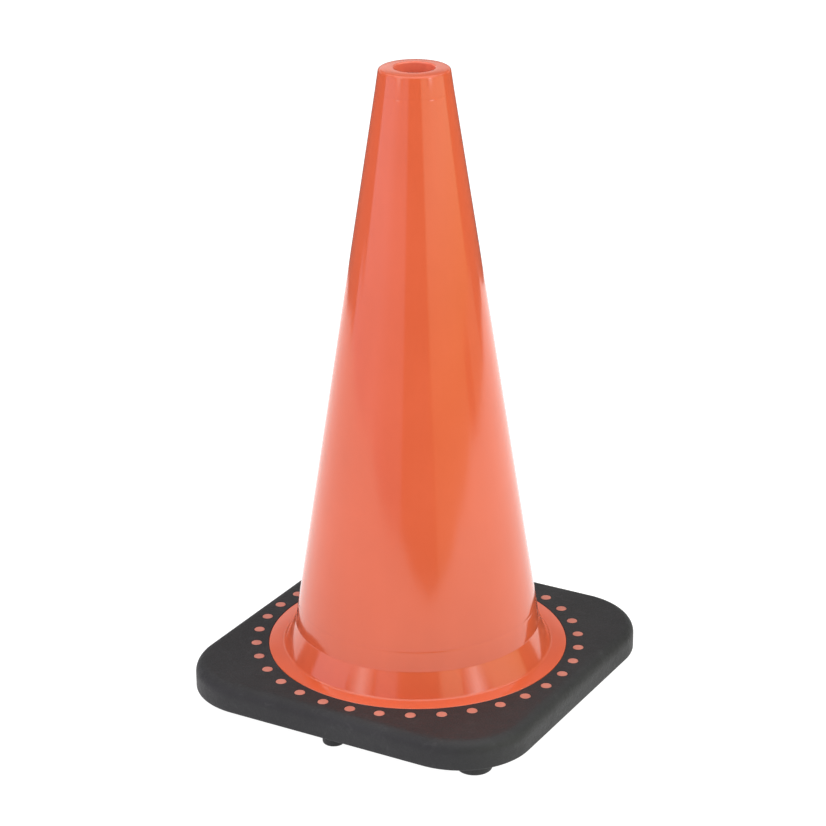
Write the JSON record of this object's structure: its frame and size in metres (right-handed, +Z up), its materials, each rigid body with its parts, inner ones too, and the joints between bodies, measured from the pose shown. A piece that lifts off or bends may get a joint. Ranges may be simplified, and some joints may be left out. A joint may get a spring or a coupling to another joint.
{
  "type": "traffic cone",
  "caption": "Hollow orange PVC traffic cone with a holed top rim and a round flange, locked by moulded studs into a black square base on low round feet.",
  "frame": {"origin": "on the ground under the cone's axis, at the middle of the base's footprint", "axes": "+Z up along the cone's axis; X and Y along the sides of the square base"},
  "size_m": [0.2638, 0.2638, 0.4572],
  "materials": {
    "orange_pvc": "glossy fluorescent orange PVC",
    "orange_stud_pvc": "the same PVC, duller where the studs come up flush with the base",
    "black_base_pvc": "matte recycled black PVC, fine moulded grain"
  },
  "bodies": {
    "root": {"cone_shell": "orange_pvc", "stacking_ribs": "orange_pvc", "lock_ring": "orange_pvc", "lock_studs": "orange_stud_pvc", "base_plate": "black_base_pvc", "underside_ribs": "black_base_pvc", "corner_foot_1": "black_base_pvc", "corner_foot_2": "black_base_pvc", "corner_foot_3": "black_base_pvc", "corner_foot_4": "black_base_pvc", "edge_foot_1": "black_base_pvc", "edge_foot_2": "black_base_pvc"}
  },
  "joints": []
}
